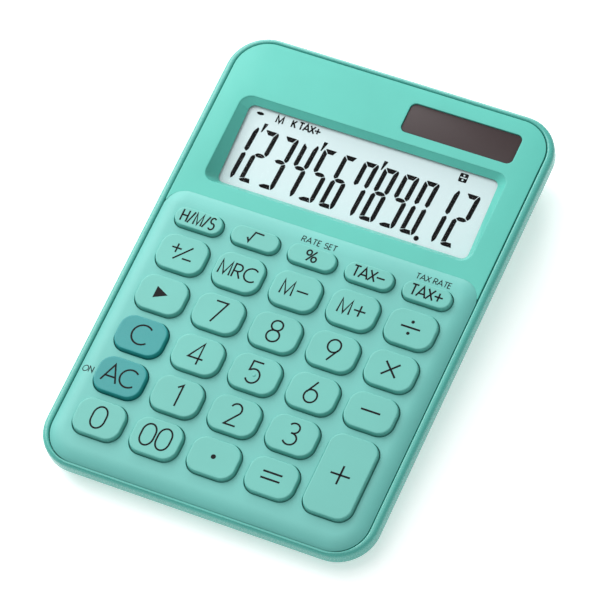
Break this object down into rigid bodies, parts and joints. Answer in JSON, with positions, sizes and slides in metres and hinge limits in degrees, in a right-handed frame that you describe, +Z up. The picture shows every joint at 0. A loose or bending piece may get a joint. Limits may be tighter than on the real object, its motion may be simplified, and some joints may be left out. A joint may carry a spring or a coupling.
{
  "type": "desk calculator",
  "caption": "Wedge-shaped desk calculator with a sloped keyboard of separate pressable keys, a sunk digital display, a solar cell and a screwed battery cover.",
  "frame": {"origin": "centre of the footprint on the table, under the feet", "axes": "+Z up, +Y from the keyboard towards the display, +X to the user's right; the top face is tilted 5 degrees about X, higher at the rear"},
  "size_m": [0.105, 0.1492, 0.0227],
  "materials": {
    "case_mint": "satin moulded plastic",
    "keyboard_mint": "fine matte moulded plastic",
    "panel_mint": "satin gloss moulded plastic",
    "lower_mint": "matte moulded plastic",
    "clear_window": "clear polished acrylic",
    "lcd": "display glass with polarisers",
    "reflector": "white reflective film",
    "white_plastic": "white moulded plastic",
    "tinted_window": "dark tinted acrylic",
    "solar_glass": "amorphous silicon on glass",
    "foam": "black foam",
    "board_laminate": "laminate with solder mask",
    "black_resin": "glossy potting resin",
    "capacitor_sleeve": "printed sleeve",
    "keypad_rubber": "translucent silicone rubber",
    "ribbon_film": "polyester film",
    "lead_insulation": "PVC insulation",
    "battery_steel": "nickel-plated steel",
    "contact_steel": "nickel-plated spring steel",
    "screw_steel": "zinc-plated steel",
    "foot_rubber": "soft black rubber",
    "label_paper": "blank foil-backed paper",
    "key_mint": "fine matte moulded plastic",
    "key_teal": "fine matte moulded plastic"
  },
  "bodies": {
    "case": {"upper_case": "case_mint", "keyboard_panel": "keyboard_mint", "display_panel": "panel_mint", "lower_case": "lower_mint", "display_window": "clear_window", "lcd_glass": "lcd", "lcd_reflector": "reflector", "lcd_holder": "white_plastic", "solar_window": "tinted_window", "solar_cell": "solar_glass", "solar_cell_pad": "foam", "circuit_board": "board_laminate", "chip_blob": "black_resin", "capacitor": "capacitor_sleeve", "rubber_keypad": "keypad_rubber", "heat_seal_ribbon": "ribbon_film", "solar_leads": "lead_insulation", "battery_leads": "lead_insulation", "battery": "battery_steel", "battery_contact_plus": "contact_steel", "battery_contact_minus": "contact_steel", "battery_cover": "lower_mint", "battery_cover_screw": "screw_steel", "case_screws": "screw_steel", "board_screws": "screw_steel", "front_feet": "foot_rubber", "rear_feet": "foot_rubber", "rating_label": "label_paper"},
    "key_hours_minutes_seconds_body": {"key_hours_minutes_seconds": "key_mint"},
    "key_square_root_body": {"key_square_root": "key_mint"},
    "key_percent_body": {"key_percent": "key_mint"},
    "key_tax_minus_body": {"key_tax_minus": "key_mint"},
    "key_tax_plus_body": {"key_tax_plus": "key_mint"},
    "key_sign_change_body": {"key_sign_change": "key_mint"},
    "key_memory_recall_body": {"key_memory_recall": "key_mint"},
    "key_memory_minus_body": {"key_memory_minus": "key_mint"},
    "key_memory_plus_body": {"key_memory_plus": "key_mint"},
    "key_divide_body": {"key_divide": "key_mint"},
    "key_backspace_body": {"key_backspace": "key_mint"},
    "key_7_body": {"key_7": "key_mint"},
    "key_8_body": {"key_8": "key_mint"},
    "key_9_body": {"key_9": "key_mint"},
    "key_multiply_body": {"key_multiply": "key_mint"},
    "key_clear_body": {"key_clear": "key_teal"},
    "key_4_body": {"key_4": "key_mint"},
    "key_5_body": {"key_5": "key_mint"},
    "key_6_body": {"key_6": "key_mint"},
    "key_subtract_body": {"key_subtract": "key_mint"},
    "key_all_clear_body": {"key_all_clear": "key_teal"},
    "key_1_body": {"key_1": "key_mint"},
    "key_2_body": {"key_2": "key_mint"},
    "key_3_body": {"key_3": "key_mint"},
    "key_add_body": {"key_add": "key_mint"},
    "key_0_body": {"key_0": "key_mint"},
    "key_double_zero_body": {"key_double_zero": "key_mint"},
    "key_decimal_point_body": {"key_decimal_point": "key_mint"},
    "key_equals_body": {"key_equals": "key_mint"}
  },
  "joints": [
    {"name": "key_hours_minutes_seconds_press", "type": "slide", "parent": "case", "child": "key_hours_minutes_seconds_body", "axis": [0, 0.0872, -0.9962], "range_m": [0, 0.0012], "stiffness_N_per_m": 450, "springref_m": -0.0004, "deforming": ["rubber_keypad"]},
    {"name": "key_square_root_press", "type": "slide", "parent": "case", "child": "key_square_root_body", "axis": [0, 0.0872, -0.9962], "range_m": [0, 0.0012], "stiffness_N_per_m": 450, "springref_m": -0.0004, "deforming": ["rubber_keypad"]},
    {"name": "key_percent_press", "type": "slide", "parent": "case", "child": "key_percent_body", "axis": [0, 0.0872, -0.9962], "range_m": [0, 0.0012], "stiffness_N_per_m": 450, "springref_m": -0.0004, "deforming": ["rubber_keypad"]},
    {"name": "key_tax_minus_press", "type": "slide", "parent": "case", "child": "key_tax_minus_body", "axis": [0, 0.0872, -0.9962], "range_m": [0, 0.0012], "stiffness_N_per_m": 450, "springref_m": -0.0004, "deforming": ["rubber_keypad"]},
    {"name": "key_tax_plus_press", "type": "slide", "parent": "case", "child": "key_tax_plus_body", "axis": [0, 0.0872, -0.9962], "range_m": [0, 0.0012], "stiffness_N_per_m": 450, "springref_m": -0.0004, "deforming": ["rubber_keypad"]},
    {"name": "key_sign_change_press", "type": "slide", "parent": "case", "child": "key_sign_change_body", "axis": [0, 0.0872, -0.9962], "range_m": [0, 0.0012], "stiffness_N_per_m": 450, "springref_m": -0.0004, "deforming": ["rubber_keypad"]},
    {"name": "key_memory_recall_press", "type": "slide", "parent": "case", "child": "key_memory_recall_body", "axis": [0, 0.0872, -0.9962], "range_m": [0, 0.0012], "stiffness_N_per_m": 450, "springref_m": -0.0004, "deforming": ["rubber_keypad"]},
    {"name": "key_memory_minus_press", "type": "slide", "parent": "case", "child": "key_memory_minus_body", "axis": [0, 0.0872, -0.9962], "range_m": [0, 0.0012], "stiffness_N_per_m": 450, "springref_m": -0.0004, "deforming": ["rubber_keypad"]},
    {"name": "key_memory_plus_press", "type": "slide", "parent": "case", "child": "key_memory_plus_body", "axis": [0, 0.0872, -0.9962], "range_m": [0, 0.0012], "stiffness_N_per_m": 450, "springref_m": -0.0004, "deforming": ["rubber_keypad"]},
    {"name": "key_divide_press", "type": "slide", "parent": "case", "child": "key_divide_body", "axis": [0, 0.0872, -0.9962], "range_m": [0, 0.0012], "stiffness_N_per_m": 450, "springref_m": -0.0004, "deforming": ["rubber_keypad"]},
    {"name": "key_backspace_press", "type": "slide", "parent": "case", "child": "key_backspace_body", "axis": [0, 0.0872, -0.9962], "range_m": [0, 0.0012], "stiffness_N_per_m": 450, "springref_m": -0.0004, "deforming": ["rubber_keypad"]},
    {"name": "key_7_press", "type": "slide", "parent": "case", "child": "key_7_body", "axis": [0, 0.0872, -0.9962], "range_m": [0, 0.0012], "stiffness_N_per_m": 450, "springref_m": -0.0004, "deforming": ["rubber_keypad"]},
    {"name": "key_8_press", "type": "slide", "parent": "case", "child": "key_8_body", "axis": [0, 0.0872, -0.9962], "range_m": [0, 0.0012], "stiffness_N_per_m": 450, "springref_m": -0.0004, "deforming": ["rubber_keypad"]},
    {"name": "key_9_press", "type": "slide", "parent": "case", "child": "key_9_body", "axis": [0, 0.0872, -0.9962], "range_m": [0, 0.0012], "stiffness_N_per_m": 450, "springref_m": -0.0004, "deforming": ["rubber_keypad"]},
    {"name": "key_multiply_press", "type": "slide", "parent": "case", "child": "key_multiply_body", "axis": [0, 0.0872, -0.9962], "range_m": [0, 0.0012], "stiffness_N_per_m": 450, "springref_m": -0.0004, "deforming": ["rubber_keypad"]},
    {"name": "key_clear_press", "type": "slide", "parent": "case", "child": "key_clear_body", "axis": [0, 0.0872, -0.9962], "range_m": [0, 0.0012], "stiffness_N_per_m": 450, "springref_m": -0.0004, "deforming": ["rubber_keypad"]},
    {"name": "key_4_press", "type": "slide", "parent": "case", "child": "key_4_body", "axis": [0, 0.0872, -0.9962], "range_m": [0, 0.0012], "stiffness_N_per_m": 450, "springref_m": -0.0004, "deforming": ["rubber_keypad"]},
    {"name": "key_5_press", "type": "slide", "parent": "case", "child": "key_5_body", "axis": [0, 0.0872, -0.9962], "range_m": [0, 0.0012], "stiffness_N_per_m": 450, "springref_m": -0.0004, "deforming": ["rubber_keypad"]},
    {"name": "key_6_press", "type": "slide", "parent": "case", "child": "key_6_body", "axis": [0, 0.0872, -0.9962], "range_m": [0, 0.0012], "stiffness_N_per_m": 450, "springref_m": -0.0004, "deforming": ["rubber_keypad"]},
    {"name": "key_subtract_press", "type": "slide", "parent": "case", "child": "key_subtract_body", "axis": [0, 0.0872, -0.9962], "range_m": [0, 0.0012], "stiffness_N_per_m": 450, "springref_m": -0.0004, "deforming": ["rubber_keypad"]},
    {"name": "key_all_clear_press", "type": "slide", "parent": "case", "child": "key_all_clear_body", "axis": [0, 0.0872, -0.9962], "range_m": [0, 0.0012], "stiffness_N_per_m": 450, "springref_m": -0.0004, "deforming": ["rubber_keypad"]},
    {"name": "key_1_press", "type": "slide", "parent": "case", "child": "key_1_body", "axis": [0, 0.0872, -0.9962], "range_m": [0, 0.0012], "stiffness_N_per_m": 450, "springref_m": -0.0004, "deforming": ["rubber_keypad"]},
    {"name": "key_2_press", "type": "slide", "parent": "case", "child": "key_2_body", "axis": [0, 0.0872, -0.9962], "range_m": [0, 0.0012], "stiffness_N_per_m": 450, "springref_m": -0.0004, "deforming": ["rubber_keypad"]},
    {"name": "key_3_press", "type": "slide", "parent": "case", "child": "key_3_body", "axis": [0, 0.0872, -0.9962], "range_m": [0, 0.0012], "stiffness_N_per_m": 450, "springref_m": -0.0004, "deforming": ["rubber_keypad"]},
    {"name": "key_add_press", "type": "slide", "parent": "case", "child": "key_add_body", "axis": [0, 0.0872, -0.9962], "range_m": [0, 0.0012], "stiffness_N_per_m": 450, "springref_m": -0.0004, "deforming": ["rubber_keypad"]},
    {"name": "key_0_press", "type": "slide", "parent": "case", "child": "key_0_body", "axis": [0, 0.0872, -0.9962], "range_m": [0, 0.0012], "stiffness_N_per_m": 450, "springref_m": -0.0004, "deforming": ["rubber_keypad"]},
    {"name": "key_double_zero_press", "type": "slide", "parent": "case", "child": "key_double_zero_body", "axis": [0, 0.0872, -0.9962], "range_m": [0, 0.0012], "stiffness_N_per_m": 450, "springref_m": -0.0004, "deforming": ["rubber_keypad"]},
    {"name": "key_decimal_point_press", "type": "slide", "parent": "case", "child": "key_decimal_point_body", "axis": [0, 0.0872, -0.9962], "range_m": [0, 0.0012], "stiffness_N_per_m": 450, "springref_m": -0.0004, "deforming": ["rubber_keypad"]},
    {"name": "key_equals_press", "type": "slide", "parent": "case", "child": "key_equals_body", "axis": [0, 0.0872, -0.9962], "range_m": [0, 0.0012], "stiffness_N_per_m": 450, "springref_m": -0.0004, "deforming": ["rubber_keypad"]}
  ]
}
